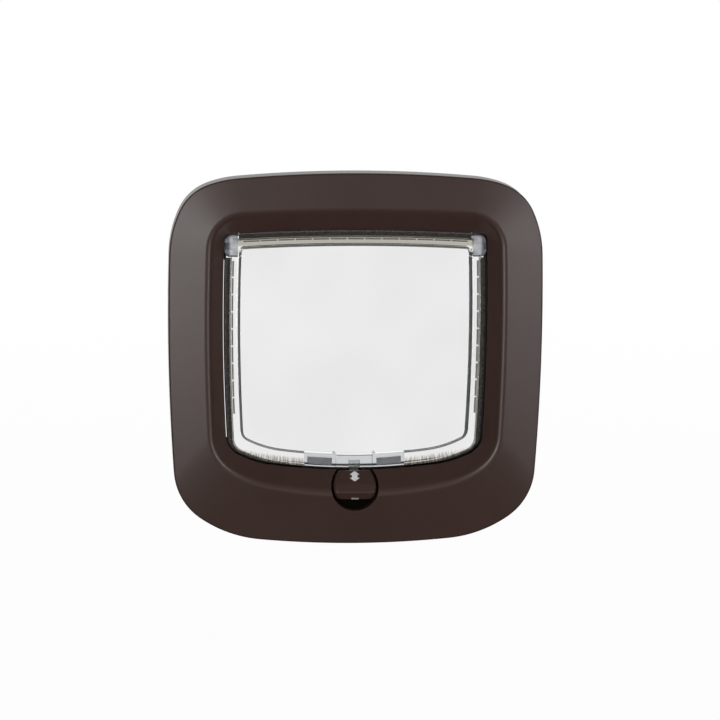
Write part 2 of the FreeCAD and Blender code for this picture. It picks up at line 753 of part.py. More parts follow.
# Places shared by pieces that meet
cap_outer_x = opening.reach(hinge_z) - hinge_cap_side_gap
cap_inner_x = cap_outer_x - hinge_cap_width
knob_top_z = sill_z - knob_top_gap
web_top_z = rim_bottom_z - latch_travel - slide_gap
tongue_front_y = flap_front_y + pocket_wall + slide_gap
tongue_rear_y = tongue_front_y + tongue_thickness
keeper_front_y = tongue_rear_y + keeper_gap
head_seat_y = door_thickness + exterior_depth - head_pocket_depth + exterior_crown / 2
frame_magnet_top = opening.floor(magnet_offset - magnet_length / 2) - tunnel_wall
cradle_x = magnet_offset - magnet_length / 2
cradle_front_y = flap_front_y + pocket_wall + cradle_wall
cradle_bottom_z = frame_magnet_top - magnet_height - cradle_wall
keeper_z = cradle_bottom_z - slide_gap - keeper_height / 2
pane_front_y = hinge_y - pane_thickness / 2
pane_rear_y = hinge_y + pane_thickness / 2

moulding = make_frame_moulding()
housing = housing_zone()
magnet_pod = make_magnet_pod()

hinge_cap = make_hinge_cap()
hinge_pin = make_hinge_pin()
brush_side = make_brush_side()
frame_magnet = make_frame_magnet()

nodes = {
    "interior_frame": moulding.cut(housing),
    "latch_housing": moulding.common(housing),
    "cutout_liner": make_cutout_liner(),
    "exterior_frame": make_exterior_frame(),
    "frame_screws": make_frame_screws(),
    "flap_rim": make_flap_rim(),
    "flap_pane": make_flap_pane(),
    "catch_block": make_catch_block(),
    "magnet_pod_left": mirrored(magnet_pod),
    "magnet_pod_right": magnet_pod,
    "flap_magnet_left": flap_magnet(-1),
    "flap_magnet_right": flap_magnet(1),
    "frame_magnet_left": mirrored(frame_magnet),
    "frame_magnet_right": frame_magnet,
    "brush_strip_top": make_brush_top(),
    "brush_strip_left": mirrored(brush_side),
    "brush_strip_right": brush_side,
    "hinge_cap_left": mirrored(hinge_cap),
    "hinge_cap_right": hinge_cap,
    "hinge_pin_left": mirrored(hinge_pin),
    "hinge_pin_right": hinge_pin,
    "latch_slider": make_latch_slider(),
    "latch_keeper": make_latch_keeper(),
    "keeper_screws": make_keeper_screws(),
    "latch_spring": make_latch_spring(),
}

os.makedirs("parts", exist_ok=True)
for name, shape in nodes.items():
    shape.exportStep(f"parts/{name}.step")
    low = shape.BoundBox
    print(name, "valid", shape.isValid(), "solids", len(shape.Solids), "volume", round(shape.Volume, 1),
          "x", round(low.XMin, 1), round(low.XMax, 1), "y", round(low.YMin, 1), round(low.YMax, 1),
          "z", round(low.ZMin, 1), round(low.ZMax, 1))
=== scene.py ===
"""Looks of the cat flap: fine mouldings, the clear flap, its pile seals, the latch and their materials."""
import math
import random

import bmesh
import bpy
import numpy as np
from mathutils import Matrix, Quaternion, Vector


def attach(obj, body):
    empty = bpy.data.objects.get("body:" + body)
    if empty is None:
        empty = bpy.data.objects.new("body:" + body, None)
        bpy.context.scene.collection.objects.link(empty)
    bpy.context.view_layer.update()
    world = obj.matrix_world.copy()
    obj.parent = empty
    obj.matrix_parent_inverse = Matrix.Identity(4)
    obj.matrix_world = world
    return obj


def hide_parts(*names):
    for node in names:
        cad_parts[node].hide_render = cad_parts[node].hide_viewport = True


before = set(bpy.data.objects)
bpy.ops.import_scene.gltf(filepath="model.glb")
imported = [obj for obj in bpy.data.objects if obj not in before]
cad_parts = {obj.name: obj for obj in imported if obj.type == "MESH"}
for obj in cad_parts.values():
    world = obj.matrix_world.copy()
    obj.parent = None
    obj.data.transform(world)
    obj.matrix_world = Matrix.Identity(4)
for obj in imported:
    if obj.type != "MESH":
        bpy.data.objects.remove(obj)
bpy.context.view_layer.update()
MM = 0.001

# Sizes in millimetres, the same as in the CAD part
frame_width = 235.0
frame_height = 235.0
side_border = 34.35
top_border = 36.0
bottom_border = 46.3
side_depth = 17.0
face_rise = 3.0
frame_wall = 2.5
face_edge_round = 1.2
frame_corner_radii = (72.0, 31.5, 69.0, 39.0, 78.5)
frame_headings = (0.0, 5.0, 20.0, 65.0, 88.5, 94.0, 145.0, 174.5, 180.0)
opening_width = frame_width - 2 * side_border
opening_corner_radii = (4.6, 4.2, 4.2, 14.0, 66.0)
opening_headings = (0.0, 3.2, 30.0, 60.0, 88.0, 93.2, 153.0, 172.5, 180.0)
tunnel_wall = 2.2
recess_depth = 9.5
recess_flare_side = 9.0
recess_flare_top = 12.2
recess_flare_bottom = 13.6
recess_corner_radii = (24.0, 22.0, 22.0, 28.0, 62.0)
recess_headings = (0.0, 3.0, 30.0, 60.0, 88.1, 93.0, 147.5, 167.8, 180.0)
recess_round = 7.0
flap_side_gap = 4.1
flap_top_gap = 4.1
flap_bottom_gap = 1.1
rim_side = 6.7
rim_top = 6.6
rim_bottom = 8.4
rim_corner_radii = (5.0, 4.5, 4.5, 9.0, 78.0)
window_corner_radii = (2.6, 2.2, 2.2, 6.0, 66.0)
window_draft = 1.5
seal_channel_depth = 1.0
tuft_reach = 0.6            # shares of the gap to the tunnel
fin_reach = 0.74
shade_sheet_reach = 0.87
hinge_drop = 6.9
hinge_cap_radius = 6.8
hinge_cap_width = 8.3
holder_width = 63.2
holder_middle = 23.2
holder_shoulder = 0.4
stud_radius = 1.0
magnet_length = 15.4
magnet_height = 4.6
magnet_offset = 22.1
magnet_tilt = 4.2
notch_width = 7.4
notch_height = 4.6
pocket_radius = 15.0
knob_radius = 13.6
scoop_z = -88.6
latch_travel = 5.0
slide_gap = 0.3
tongue_width = 5.8

face_y = -side_depth
ridge_y = face_y - face_rise
opening_y = ridge_y + recess_depth
tunnel_end_y = 10.0
flap_front_y = opening_y + 0.5
flap_rear_y = flap_front_y + 8.5
hinge_y = (flap_front_y + flap_rear_y) / 2
opening_top = frame_height / 2 - top_border
sill_z = bottom_border - frame_height / 2
rim_top_z = opening_top - flap_top_gap
rim_bottom_z = sill_z + flap_bottom_gap
hinge_z = rim_top_z - hinge_drop
latch_z = sill_z - 9.8
knob_top_z = sill_z - 0.4
web_top_z = rim_bottom_z - 5.3
seat_y = 6.0
side_y = 16.0


class Level:
    """A value that varies over a surface, written with ordinary arithmetic."""

    def __init__(self, finish, socket):
        self.finish = finish
        self.socket = socket

    def sum_of(self, operation, first, second):
        return self.finish.node("ShaderNodeMath", {"operation": operation}, {0: first, 1: second})

    def __add__(self, other):
        return self.sum_of("ADD", self, other)

    def __radd__(self, other):
        return self.sum_of("ADD", other, self)

    def __sub__(self, other):
        return self.sum_of("SUBTRACT", self, other)

    def __rsub__(self, other):
        return self.sum_of("SUBTRACT", other, self)

    def __mul__(self, other):
        return self.sum_of("MULTIPLY", self, other)

    def __rmul__(self, other):
        return self.sum_of("MULTIPLY", other, self)

    def __truediv__(self, other):
        return self.sum_of("DIVIDE", self, other)


class Finish:
    """One material, or the world, and the few calls that its nodes need."""

    def __init__(self, name, owners=bpy.data.materials):
        self.material = owners.new(name)
        self.material.use_nodes = True
        self.tree = self.material.node_tree
        self.tree.nodes.clear()
        self.place = self.node("ShaderNodeTexCoord", out="Object")

    def node(self, kind, settings=None, inputs=None, out=0):
        made = self.tree.nodes.new(kind)
        for key, value in (settings or {}).items():
            setattr(made, key, value)
        for key, value in (inputs or {}).items():
            socket = made.inputs[key]
            if isinstance(value, Level):
                self.tree.links.new(value.socket, socket)
            else:
                socket.default_value = value
        return Level(self, made.outputs[out])

    def noise(self, size_mm, detail=2.0, roughness=0.5, place=None):
        """Noise from 0 to 1 with features of about the given size."""
        return self.node("ShaderNodeTexNoise", {}, {
            "Vector": place or self.place, "Scale": 1 / (size_mm * MM), "Detail": detail, "Roughness": roughness})

    def stretched(self, x, y, z):
        return self.node("ShaderNodeVectorMath", {"operation": "MULTIPLY"}, {0: self.place, 1: (x, y, z)})

    def blend(self, share, first, second):
        return self.node("ShaderNodeMix", {"data_type": "RGBA"}, {"Factor": share, 6: first, 7: second}, 2)

    def clamp(self, value, low, high, to_low=0.0, to_high=1.0):
        return self.node("ShaderNodeMapRange", {}, {
            "Value": value, "From Min": low, "From Max": high, "To Min": to_low, "To Max": to_high})

    def bump(self, height, depth_mm, strength=1.0, under=None):
        inputs = {"Strength": strength, "Distance": depth_mm * MM, "Height": height}
        if under:
            inputs["Normal"] = under
        return self.node("ShaderNodeBump", {}, inputs)

    def surface(self, **inputs):
        shader = self.node("ShaderNodeBsdfPrincipled", {}, {k.replace("_", " "): v for k, v in inputs.items()})
        return self.finish(shader)

    def split(self, vector, axis):
        return self.node("ShaderNodeSeparateXYZ", {}, {"Vector": vector}, axis)

    def ray(self, kind):
        """1 for rays of one kind, such as Camera, otherwise 0."""
        return self.node("ShaderNodeLightPath", out=f"Is {kind} Ray")

    def finish(self, shader, kind="ShaderNodeOutputMaterial"):
        output = self.tree.nodes.new(kind)
        self.tree.links.new(shader.socket, output.inputs["Surface"])
        return self.material


def moulded_brown(name, paint_tunnel_shade=False):
    """Brown plastic with painted shade: a near-black matte shader is mixed in as painted shadow below the latch scoop,
    and in the copy made for the indoor frame also as painted shade inside the tunnel.
    """
    f = Finish(name)
    cloud = f.noise(38, 3)
    grain = f.noise(0.42, 2, 0.6)
    pores = f.noise(0.16, 1)
    tint = f.blend(f.clamp(cloud, 0.3, 0.7), (0.053, 0.0255, 0.0195, 1), (0.057, 0.0280, 0.0220, 1))
    tint = f.blend(f.clamp(grain, 0.35, 0.65, 0.0, 0.12), tint, (0.068, 0.038, 0.030, 1))
    x, height, y = (f.split(f.place, axis) / MM for axis in "XZY")
    # Painted shadow: mask for the knob's foot and the pocket below the scoop line, at the front only.
    dark = f.clamp(height, scoop_z, scoop_z - 1.2) * f.clamp(y, -1.0, -3.0)
    dark = dark * f.clamp(x * x + (height - latch_z) * (height - latch_z), 225.0, 205.0)
    if paint_tunnel_shade:
        # Painted shade inside the tunnel, behind the opening's front edge.
        tunnel = f.clamp(y, opening_y - 0.1, opening_y + 0.5) * f.clamp(x * x, 9900.0, 9600.0)
        tunnel = tunnel * f.clamp(height * height, 9900.0, 9600.0)
        dark = f.clamp(dark + tunnel * 0.95, 0.0, 1.0)
    gloss = f.node("ShaderNodeBsdfPrincipled", {}, {
        "Base Color": tint, "Roughness": f.clamp(grain + cloud * 0.4, 0.4, 1.0, 0.30, 0.36),
        "Normal": f.bump(grain * 0.7 + pores * 0.3, 0.02, 0.5), "Specular IOR Level": 0.5})
    # Near-black matte shader that stands in for the shadow; the mask mixes it in.
    painted_shadow_black = f.node("ShaderNodeBsdfPrincipled", {}, {
        "Base Color": (0.006, 0.0045, 0.004, 1), "Roughness": 1.0, "Specular IOR Level": 0.0})
    return f.finish(f.node("ShaderNodeMixShader", {}, {0: dark, 1: gloss, 2: painted_shadow_black}))


def moulded_black():
    f = Finish("moulded_black")
    grain = f.noise(0.5, 2)
    tint = f.blend(grain, (0.016, 0.015, 0.015, 1), (0.028, 0.027, 0.027, 1))
    return f.surface(Base_Color=tint, Roughness=f.clamp(grain, 0.2, 0.8, 0.35, 0.5), Normal=f.bump(grain, 0.02, 0.5))


def clear(name, tint, rough, haze, top_tint=None):
    """Clear plastic; what stands above the window can have a tint of its own."""
    f = Finish(name)
    swirl = f.noise(60, 1)
    specks = f.noise(0.5, 1)
    shade = f.clamp(swirl, 0.35, 0.65)
    colour = f.blend(shade, tint, tuple(c * 0.95 for c in tint[:3]) + (1,))
    if top_tint:
        height = f.split(f.place, "Z") / MM
        across = f.split(f.place, "X") / MM
        colour = f.blend(f.clamp(height, window.top - 0.4, window.top + 0.4), colour, top_tint)
        above = height - rim_bottom_z - across * across / (2 * rim.radii[-1])
        streaks = f.noise(1.1, 2, place=f.stretched(1, 0.1, 0.12))
        bristles = f.clamp(streaks, 0.36, 0.58) * f.clamp(above, 4.6, 3.0)
        colour = f.blend(bristles * 0.85, colour, (0.26, 0.22, 0.18, 1))
    return f.surface(Base_Color=colour, Roughness=f.clamp(specks, 0.2, 0.9, rough, rough + haze),
                     Normal=f.bump(swirl, 0.02, 0.3), IOR=1.49, Transmission_Weight=1.0)


def cloudy_cap():
    """Clear plastic of the hinge corners, bluish, with painted shade that turns it dark toward the outer side."""
    f = Finish("clear_cap")
    swirl = f.noise(4, 2)
    across = f.split(f.place, "X") / MM
    outward = f.node("ShaderNodeMath", {"operation": "ABSOLUTE"}, {0: across}) + (swirl - 0.5) * 1.2
    # Painted shade: the colour turns from pale to dark near the outer end, with a noisy border.
    edge = opening.reach(hinge_z)
    colour = f.blend(f.clamp(outward, edge - 4.2, edge - 2.8), (0.90, 0.92, 0.95, 1), (0.20, 0.21, 0.24, 1))
    return f.surface(Base_Color=colour, Roughness=f.clamp(swirl, 0.2, 0.9, 0.28, 0.38),
                     Normal=f.bump(swirl, 0.03, 0.4), IOR=1.49, Transmission_Weight=0.55)


def pile_finish(name, dark, light):
    f = Finish(name)
    strands = f.noise(0.3, 2)
    patches = f.noise(6, 2)
    tint = f.blend(f.clamp(strands + patches * 0.3, 0.4, 0.9), dark, light)
    return f.surface(Base_Color=tint, Roughness=f.clamp(strands, 0.0, 1.0, 0.7, 0.95),
                     Normal=f.bump(strands, 0.06, 0.6), Sheen_Weight=0.2)


def fin_film():
    f = Finish("fin_film")
    wave = f.noise(3, 2)
    return f.surface(Base_Color=f.blend(wave, (0.10, 0.095, 0.09, 1), (0.17, 0.16, 0.15, 1)),
                     Roughness=f.clamp(wave, 0.0, 1.0, 0.3, 0.5), Alpha=f.clamp(wave, 0.0, 1.0, 0.55, 0.8))


def magnet_grey():
    f = Finish("magnet_grey")
    ground = f.noise(0.35, 3, place=f.stretched(0.12, 1, 1))
    stain = f.noise(5, 3)
    tint = f.blend(f.clamp(stain, 0.35, 0.7), (0.44, 0.445, 0.455, 1), (0.52, 0.525, 0.535, 1))
    return f.surface(Base_Color=tint, Metallic=0.35, Roughness=f.clamp(ground, 0.2, 0.8, 0.38, 0.6),
                     Normal=f.bump(ground, 0.02, 0.5))


def bright_steel():
    f = Finish("bright_steel")
    brushed = f.noise(0.3, 3, place=f.stretched(1, 0.1, 1))
    tint = f.blend(brushed, (0.52, 0.52, 0.53, 1), (0.66, 0.66, 0.67, 1))
    return f.surface(Base_Color=tint, Metallic=1.0, Roughness=f.clamp(brushed, 0.2, 0.8, 0.22, 0.4),
                     Normal=f.bump(brushed, 0.01, 0.4))


def printed(name, tint, worn):
    f = Finish(name)
    wear = f.noise(0.6, 3)
    colour = f.blend(f.clamp(wear, 0.45, 0.75), tint, worn)
    return f.surface(Base_Color=colour, Roughness=f.clamp(wear, 0.0, 1.0, 0.45, 0.6), Normal=f.bump(wear, 0.01, 0.3))


class Outline:
    """Closed outline of tangent arcs, the same on both sides of x = 0, with the long radii solved."""

    steps = (16, 7, 9, 7, 18, 16, 12, 16)

    def __init__(self, width, top, bottom, headings, corner_radii):
        self.width = width
        self.top = top
        self.bottom = bottom
        self.headings = headings
        self.corner_radii = corner_radii
        self.angles = [math.radians(h) for h in headings]
        n = [np.array((math.sin(a), math.cos(a))) for a in self.angles]
        r1, r2, r3, r5, r6 = corner_radii
        upper = r1 * (n[2] - n[1]) + r2 * (n[3] - n[2]) + r3 * (n[4] - n[3])
        lower = r5 * (n[6] - n[5]) + r6 * (n[7] - n[6])
        widest = np.array((1.0, 0.0))
        top_arc = n[1] - n[0]
        side_upper = widest - n[4]
        side_lower = n[5] - widest
        bottom_arc = n[8] - n[7]
        rows = np.array([[top_arc[0], side_upper[0], 0], [0, side_lower[0], bottom_arc[0]],
                         [top_arc[1], side_upper[1] + side_lower[1], bottom_arc[1]]])
        sums = np.array([width / 2 - upper[0], -width / 2 - lower[0], bottom - top - upper[1] - lower[1]])
        long_top, long_side, long_bottom = np.linalg.solve(rows, sums)
        self.radii = (long_top, r1, r2, r3, long_side, r5, r6, long_bottom)
        self.centres = []
        point = np.array((0.0, top))
        for radius, start, end in zip(self.radii, n, n[1:]):
            centre = point - start * radius
            self.centres.append(centre)
            point = centre + end * radius

    def half(self, inset=0.0, finer=1):
        """Points (x, z, heading) from the top middle down the right side to the bottom middle."""
        out = []
        for k, (centre, radius, count) in enumerate(zip(self.centres, self.radii, self.steps)):
            for i in range(count * finer + (k == 7)):
                a = self.angles[k] + (self.angles[k + 1] - self.angles[k]) * i / (count * finer)
                out.append((centre[0] + (radius - inset) * math.sin(a),
                            centre[1] + (radius - inset) * math.cos(a), a))
        return out

    def loop(self, inset, y):
        right = [(x, y, z) for x, z, _ in self.half(inset)]
        return right + [(-x, y, z) for x, y, z in reversed(right[1:-1])]

    def reach(self, z):
        for k, (centre, radius) in enumerate(zip(self.centres, self.radii)):
            if z >= centre[1] + radius * math.cos(self.angles[k + 1]):
                break
        return centre[0] + math.sqrt(radius ** 2 - (z - centre[1]) ** 2)

    def floor(self, x, inset=0.0):
        centre = self.centres[-1]
        return centre[1] - math.sqrt((self.radii[-1] - inset) ** 2 - x ** 2)

    def ceiling(self, x):
        return self.centres[0][1] + math.sqrt(self.radii[0] ** 2 - x ** 2)


def quarter(steps):
    """Angles from 0 to a right angle."""
    return [math.pi / 2 * k / steps for k in range(steps + 1)]


def between(a, b, share):
    """Outline part of the way from a to b."""
    def mix(p, q):
        return p + (q - p) * share

    return Outline(mix(a.width, b.width), mix(a.top, b.top), mix(a.bottom, b.bottom),
                   [mix(p, q) for p, q in zip(a.headings, b.headings)],
                   [mix(p, q) for p, q in zip(a.corner_radii, b.corner_radii)])


frame_outline = Outline(frame_width, frame_height / 2, -frame_height / 2, frame_headings, frame_corner_radii)
opening = Outline(opening_width, opening_top, sill_z, opening_headings, opening_corner_radii)
recess = Outline(opening_width + 2 * recess_flare_side, opening_top + recess_flare_top,
                 sill_z - recess_flare_bottom, recess_headings, recess_corner_radii)
rim = Outline(opening_width - 2 * flap_side_gap, rim_top_z, rim_bottom_z, opening_headings, rim_corner_radii)
window = Outline(rim.width - 2 * rim_side, rim_top_z - rim_top, rim_bottom_z + rim_bottom,
                 opening_headings, window_corner_radii)
window_front = Outline(window.width + 2 * window_draft, window.top + window_draft, window.bottom - 0.4,
                       opening_headings, tuple(r + window_draft for r in window_corner_radii))


# Both browns paint shadow on the latch's foot and the pocket below its scoop; the second one also paints shade inside
# the tunnel.
brown = moulded_brown("moulded_brown")
brown_painted_shade = moulded_brown("moulded_brown_painted_shade", True)
black = moulded_black()
rim_clear = clear("clear_rim", (0.875, 0.875, 0.875, 1), 0.03, 0.03, (0.46, 0.44, 0.38, 1))
holder_clear = clear("clear_holder", (0.62, 0.63, 0.64, 1), 0.05, 0.05)
cap_clear = cloudy_cap()
groove_grey = printed("groove_grey", (0.16, 0.155, 0.15, 1), (0.26, 0.25, 0.24, 1))
pile = pile_finish("seal_pile", (0.03, 0.026, 0.022, 1), (0.15, 0.13, 0.11, 1))
webbing = pile_finish("seal_webbing", (0.36, 0.34, 0.30, 1), (0.46, 0.44, 0.39, 1))
film = fin_film()
magnet = magnet_grey()
steel = bright_steel()
arrow_white = printed("arrow_white", (0.88, 0.87, 0.86, 1), (0.78, 0.77, 0.76, 1))
# Pale grey of a painted highlight on the knob's lower lip.
painted_highlight_grey = printed("painted_highlight_grey", (0.34, 0.34, 0.35, 1), (0.26, 0.26, 0.27, 1))


# Mesh helpers, all in millimetres until a piece is placed
def mesh_from(points, faces, name="tool"):
    mesh = bpy.data.meshes.new(name)
    mesh.from_pydata([tuple(c * MM for c in p) for p in points], [], faces)
    made = bmesh.new()
    made.from_mesh(mesh)
    bmesh.ops.recalc_face_normals(made, faces=made.faces)
    made.to_mesh(mesh)
    made.free()
    obj = bpy.data.objects.new(name, mesh)
    bpy.context.scene.collection.objects.link(obj)
    return obj


def skin(loops, closed, name="tool", cap_start=False, cap_end=False):
    """Surface through loops of equal length; closed joins the last loop to the first."""
    n = len(loops[0])
    points = [p for loop in loops for p in loop]
    faces = []
    for k in range(len(loops) if closed else len(loops) - 1):
        a = k * n
        b = ((k + 1) % len(loops)) * n
        faces += [(a + i, a + (i + 1) % n, b + (i + 1) % n, b + i) for i in range(n)]
    if cap_start:
        faces.append(tuple(range(n)))
    if cap_end:
        faces.append(tuple(range((len(loops) - 1) * n, len(loops) * n)))
    return mesh_from(points, faces, name)


def moulding(stations, name="tool"):
    return skin([outline.loop(inset, y) for outline, inset, y in stations], True, name)


def block(x0, x1, y0, y1, z0, z1, name="tool"):
    points = [(x, y, z) for x in (x0, x1) for y in (y0, y1) for z in (z0, z1)]
    faces = [(0, 1, 3, 2), (4, 5, 7, 6), (0, 1, 5, 4), (2, 3, 7, 6), (0, 2, 6, 4), (1, 3, 7, 5)]
    return mesh_from(points, faces, name)


def rod(radius, start, end, sides=64, name="tool"):
    """Round bar between two points."""
    return turned([(0.0, radius), (1.0, radius)], start, end, sides, name)


def turned(profile, start, end, sides=64, name="tool"):
    """Lathe work: (share along the axis, radius) pairs; its ends are closed."""
    a = Vector(start)
    along = Vector(end) - a
    turn = along.to_track_quat("Z", "Y")
    loops = []
    for share, radius in profile:
        angles = [2 * math.pi * k / sides for k in range(sides)]
        ring = [turn @ Vector((radius * math.cos(v), radius * math.sin(v), 0)) for v in angles]
        loops.append([tuple(a + along * share + p) for p in ring])
    return skin(loops, False, name, True, True)


def apply_all(obj):
    made = bpy.data.meshes.new_from_object(obj.evaluated_get(bpy.context.evaluated_depsgraph_get()))
    obj.modifiers.clear()
    obj.data = made
    return obj


def carve(obj, operation, *tools):
    """One boolean after another; the tools are used up."""
    for tool in tools:
        step = obj.modifiers.new("carve", "BOOLEAN")
        step.operation = operation
        step.solver = "EXACT"
        step.object = tool
        apply_all(obj)
        bpy.data.objects.remove(tool)
    return obj


def gathered(*tools):
    """Several separate closed meshes as one tool."""
    made = bmesh.new()
    for tool in tools:
        made.from_mesh(tool.data)
    first = tools[0]
    made.to_mesh(first.data)
    made.free()
    for tool in tools[1:]:
        bpy.data.objects.remove(tool)
    return first


def soften(obj, width, segments=3, angle=35):
    edge = obj.modifiers.new("soften", "BEVEL")
    edge.width = width * MM
    edge.segments = segments
    edge.limit_method = "ANGLE"
    edge.angle_limit = math.radians(angle)
    edge.harden_normals = False
    return apply_all(obj)


def shade(obj, angle=32):
    """Smooth shading that keeps edges sharper than the angle."""
    made = bmesh.new()
    made.from_mesh(obj.data)
    bmesh.ops.remove_doubles(made, verts=made.verts, dist=1e-6)
    bmesh.ops.dissolve_degenerate(made, edges=made.edges, dist=1e-6)
    for face in made.faces:
        face.smooth = True
    limit = math.radians(angle)
    for edge in made.edges:
        edge.smooth = len(edge.link_faces) == 2 and edge.calc_face_angle(0) < limit
    made.to_mesh(obj.data)
    made.free()
    even = obj.modifiers.new("even", "WEIGHTED_NORMAL")
    even.keep_sharp = True
    even.weight = 80
    return apply_all(obj)


def piece(obj, name, body, material, slot, *nodes):
    obj.name = name
    obj.data.name = name
    obj.data.materials.clear()
    obj.data.materials.append(material)
    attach(obj, body)
    if nodes:
        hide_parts(*nodes)
    return obj


def ridge_stations(steps=14):
    flare = (recess_flare_side + recess_flare_top) / 2
    face_run = (frame_width - recess.width) / 2
    face_lean = math.atan2(face_rise, face_run)
    turn = face_lean + math.atan2(recess_depth, flare)
    tangent = recess_round * math.tan(turn / 2)
    start_out = tangent * math.cos(face_lean)
    centre_out = start_out - recess_round * math.sin(face_lean)
    centre_y = ridge_y + tangent * math.sin(face_lean) + recess_round * math.cos(face_lean)
    stations = []
    for k in range(steps + 1):
        angle = face_lean - turn * k / steps
        out = centre_out + recess_round * math.sin(angle)
        y = centre_y - recess_round * math.cos(angle)
        stations.append((recess, -out, y) if out >= 0 else (between(recess, opening, -out / flare), 0, y))
    return stations


def screw_places():
    x = (opening_width / 2 + tunnel_wall + frame_width / 2 - frame_wall) / 2
    return [(sx * x, sz * (frame_height / 2 - 45.5)) for sx in (-1, 1) for sz in (-1, 1)]


def make_indoor_frame():
    edge = [(frame_outline, face_edge_round * (1 - math.cos(a)), face_y + face_edge_round * (1 - math.sin(a)))
            for a in quarter(6)]
    lip = 0.6
    body = moulding([
        (frame_outline, 0, 0), *edge, *ridge_stations(),
        (between(recess, opening, 0.93), 0, opening_y - 0.07 * recess_depth),
        (opening, -0.12, opening_y + 0.02), (opening, 0, opening_y + lip), (opening, 0, -5), (opening, 0, 0),
        (opening, 0, tunnel_end_y), (opening, -tunnel_wall, tunnel_end_y),
        (opening, -tunnel_wall, opening_y + frame_wall), (recess, -1.0, ridge_y + 3.0),
        (frame_outline, frame_wall, face_y + frame_wall), (frame_outline, frame_wall, 0)])
    core = moulding([
        (frame_outline, frame_wall / 2, -0.8), (frame_outline, frame_wall / 2, face_y + frame_wall / 2),
        (recess, -frame_wall * 0.75, ridge_y + frame_wall * 0.75), (opening, -tunnel_wall / 2, opening_y + 1.25),
        (opening, -tunnel_wall / 2, -0.8)])
    features = [rod(4.6, (x, ridge_y, z), (x, -0.8, z), 40) for x, z in screw_places()]
    features += [block(x0, x1, ridge_y, -0.8, z - 0.75, z + 0.75)
                 for z in (-38, 0, 38) for x0, x1 in ((-117.5, -60), (60, 117.5))]
    features.append(rod(pocket_radius + 2.2, (0, ridge_y, latch_z), (0, flap_front_y + 2.2, latch_z), 96))
    carve(core, "INTERSECT", gathered(*features))
    carve(body, "UNION", core)
    half = tongue_width / 2 + 0.3
    carve(body, "DIFFERENCE",
          rod(pocket_radius, (0, ridge_y - 2, latch_z), (0, flap_front_y, latch_z), 128),
          block(-half, half, flap_front_y - 1, -4.2, web_top_z - 4.5, sill_z + 1.0),
          gathered(*[rod(1.8, (x, -12, z), (x, 2, z), 32) for x, z in screw_places()]))
    shade(body)
    return piece(body, "indoor_moulding", "frame", brown_painted_shade, "brown_plastic", "interior_frame", "latch_housing",
                 "cutout_liner")


def make_outdoor_frame():
    crown_y = side_y + 2.0
    collar = -(tunnel_wall + 0.3)
    edge = [(frame_outline, 3.0 + 2.5 * (1 - math.cos(a)), side_y - 2.5 * (1 - math.sin(a)))
            for a in quarter(7)]
    body = moulding([
        (frame_outline, 2.0, seat_y), *edge,
        (recess, 0.6, crown_y - 0.07), (recess, 0, crown_y), (between(recess, opening, 0.1), 0, crown_y - 0.12),
        (between(recess, opening, 0.25), 0, crown_y - 0.5), (opening, -0.2, 13.3), (opening, 0, 12.8),
        (opening, 0, 10.3), (opening, collar, 10.3), (opening, collar, seat_y), (opening, collar - 2.2, seat_y),
        (opening, collar - 2.2, 12.5), (recess, -2.5, crown_y - 2.5), (frame_outline, 5.5, side_y - 2.5),
        (frame_outline, 4.5, seat_y)])
    core = moulding([
        (frame_outline, 4.25, 6.8), (frame_outline, 4.25, side_y - 2.5), (recess, -1.25, crown_y - 1.25),
        (opening, collar - 1.1, 11.55), (opening, collar - 1.1, 6.8)])
    carve(core, "INTERSECT", gathered(*[rod(5.6, (x, 5, z), (x, 19, z), 48) for x, z in screw_places()]))
    carve(body, "UNION", core)
    carve(body, "DIFFERENCE",
          gathered(*[rod(1.8, (x, 4, z), (x, 14, z), 32) for x, z in screw_places()]),
          gathered(*[rod(4.3, (x, 13, z), (x, 20, z), 64) for x, z in screw_places()]))
    shade(body)
    return piece(body, "outdoor_moulding", "frame", brown, "brown_plastic", "exterior_frame")


def edge_points(outline, inset, test):
    """Points and outward directions along one side of the outline where the test holds, with running length."""
    points = [(x, z, a) for x, z, a in outline.half(inset, 6) if test(x, z)]
    length = [0.0]
    for (x0, z0, _), (x1, z1, _) in zip(points, points[1:]):
        length.append(length[-1] + math.hypot(x1 - x0, z1 - z0))
    return points, length


def at_length(points, length, s):
    k = min(max(int(np.searchsorted(length, s)), 1), len(points) - 1)
    t = (s - length[k - 1]) / max(length[k] - length[k - 1], 1e-9)
    return [p + (q - p) * t for p, q in zip(points[k - 1], points[k])]


gap_headings = [a for _, _, a in rim.half(0, 2)]
gap_sizes = [(q[0] - p[0]) * math.sin(p[2]) + (q[1] - p[1]) * math.cos(p[2])
             for p, q in zip(rim.half(0, 2), opening.half(0, 2))]
cap_outer_x = opening.reach(hinge_z) - 0.3
cap_inner_x = cap_outer_x - hinge_cap_width


def holder_zone(grow=0.0):
    """Space that the holder takes out of the rim."""
    half = holder_width / 2 + grow
    middle = holder_middle / 2 + grow
    low = [(x, rim.floor(x) - (2.0 if grow else 0.0)) for x in np.linspace(-half, half, 33)]
    end = [(x, window.floor(x, holder_shoulder) + grow) for x in np.linspace(half, middle, 9)]
    centre = [(x, window.floor(x) + grow) for x in np.linspace(middle, -middle, 13)]
    outline = low + end + centre + [(-x, z) for x, z in reversed(end)]
    y0, y1 = flap_front_y - 2 * grow, flap_rear_y + 2 * grow
    fall = 0.0 if grow else 1.65
    rear = [(x, y1, z - (fall if k >= len(low) else 0.0)) for k, (x, z) in enumerate(outline)]
    rise = 0.0 if grow else 0.3
    front = [(x, y0, z + (rise if k < len(low) else 0.0)) for k, (x, z) in enumerate(outline)]
    zone = skin([front, rear], False, "tool", True, True)
    studs = [rod(stud_radius + grow, (sx * (holder_middle / 2 + stud_radius), y0, window.floor(holder_middle / 2)),
                 (sx * (holder_middle / 2 + stud_radius), y1, window.floor(holder_middle / 2)), 32)
             for sx in (-1, 1)]
    return carve(zone, "UNION", gathered(*studs))


